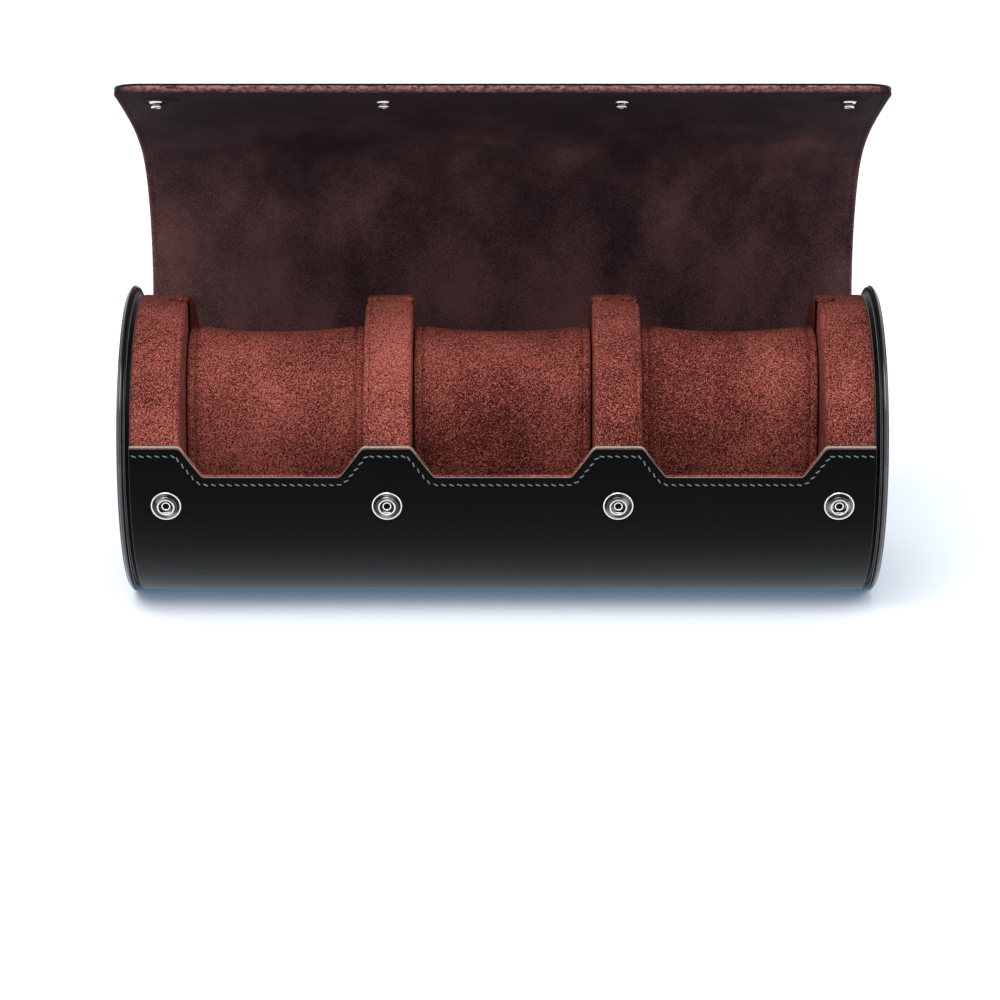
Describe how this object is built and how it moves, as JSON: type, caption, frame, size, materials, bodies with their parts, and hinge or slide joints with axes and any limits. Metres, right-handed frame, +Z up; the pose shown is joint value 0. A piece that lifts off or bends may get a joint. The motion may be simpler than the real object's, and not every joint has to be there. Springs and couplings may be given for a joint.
{
  "type": "watch travel case",
  "caption": "Cylindrical leather-covered roll case with a hinged snap-shut flap, suede-lined wells between dividers, and lift-out cushions for wristwatches.",
  "frame": {"origin": "centre of the flat strip under the roll that the case stands on", "axes": "+X along the roll to the right as seen from the front, -Y towards the front with the press snaps, +Z up"},
  "size_m": [0.24, 0.1063, 0.1761],
  "materials": {
    "black_leather": "satin",
    "glossy_piping": "gloss",
    "well_suede": "matte",
    "flap_suede": "matte",
    "board": "matte",
    "foam": "matte",
    "nickel": "polished",
    "spring_wire": "satin"
  },
  "bodies": {
    "case": {"divider_left": "well_suede", "divider_right": "well_suede", "end_collar_left": "black_leather", "end_collar_right": "black_leather", "end_disc_left": "black_leather", "end_disc_right": "black_leather", "end_partition_left": "well_suede", "end_partition_right": "well_suede", "end_piping_left": "glossy_piping", "end_piping_right": "glossy_piping", "outer_wrap": "black_leather", "snap_rivets": "nickel", "snap_sockets": "nickel", "snap_springs": "spring_wire", "spine_lining": "flap_suede", "spine_strip": "black_leather", "tube_board": "board", "well_lining_left": "well_suede", "well_lining_middle": "well_suede", "well_lining_right": "well_suede"},
    "flap_back": {"flap_back_board": "board", "flap_back_leather": "black_leather", "flap_back_suede": "flap_suede"},
    "flap_mid": {"flap_mid_board": "board", "flap_mid_leather": "black_leather", "flap_mid_suede": "flap_suede"},
    "flap_front": {"flap_front_board": "board", "flap_front_leather": "black_leather", "flap_front_suede": "flap_suede"},
    "flap_edge": {"flap_edge_board": "board", "flap_edge_leather": "black_leather", "flap_edge_suede": "flap_suede", "snap_caps": "nickel", "snap_studs": "nickel"},
    "cushion_left": {"cushion_left_core": "foam", "cushion_left_cover": "well_suede", "cushion_left_end_plates": "well_suede", "cushion_left_pegs": "well_suede"},
    "cushion_middle": {"cushion_middle_core": "foam", "cushion_middle_cover": "well_suede", "cushion_middle_end_plates": "well_suede", "cushion_middle_pegs": "well_suede"},
    "cushion_right": {"cushion_right_core": "foam", "cushion_right_cover": "well_suede", "cushion_right_end_plates": "well_suede", "cushion_right_pegs": "well_suede"}
  },
  "joints": [
    {"name": "flap_fold", "type": "hinge", "parent": "case", "child": "flap_back", "pos_m": [0, 0.04595, 0.06423], "axis": [1, 0, 0], "range_deg": [-50, 53.15], "deforming": ["spine_strip", "spine_lining"]},
    {"name": "flap_bend_1", "type": "hinge", "parent": "flap_back", "child": "flap_mid", "pos_m": [0, 0.03248, 0.13813], "axis": [1, 0, 0], "range_deg": [-10.3, 10.94]},
    {"name": "flap_bend_2", "type": "hinge", "parent": "flap_mid", "child": "flap_front", "pos_m": [0, 0.00917, 0.15171], "axis": [1, 0, 0], "range_deg": [-23.16, 24.61]},
    {"name": "snap_edge_press", "type": "hinge", "parent": "flap_front", "child": "flap_edge", "pos_m": [0, -0.01473, 0.16316], "axis": [1, 0, 0], "range_deg": [0, 30.21], "stiffness_Nm_per_rad": 0.05},
    {"name": "cushion_lift_left", "type": "slide", "parent": "case", "child": "cushion_left", "axis": [0, 0, -1], "range_m": [-0.06, 0]},
    {"name": "cushion_lift_middle", "type": "slide", "parent": "case", "child": "cushion_middle", "axis": [0, 0, -1], "range_m": [-0.06, 0]},
    {"name": "cushion_lift_right", "type": "slide", "parent": "case", "child": "cushion_right", "axis": [0, 0, -1], "range_m": [-0.06, 0]}
  ],
  "couplings": [
    {"joint": "flap_bend_1", "follows": "flap_fold", "ratio": 0.20393},
    {"joint": "flap_bend_2", "follows": "flap_fold", "ratio": 0.46111}
  ]
}
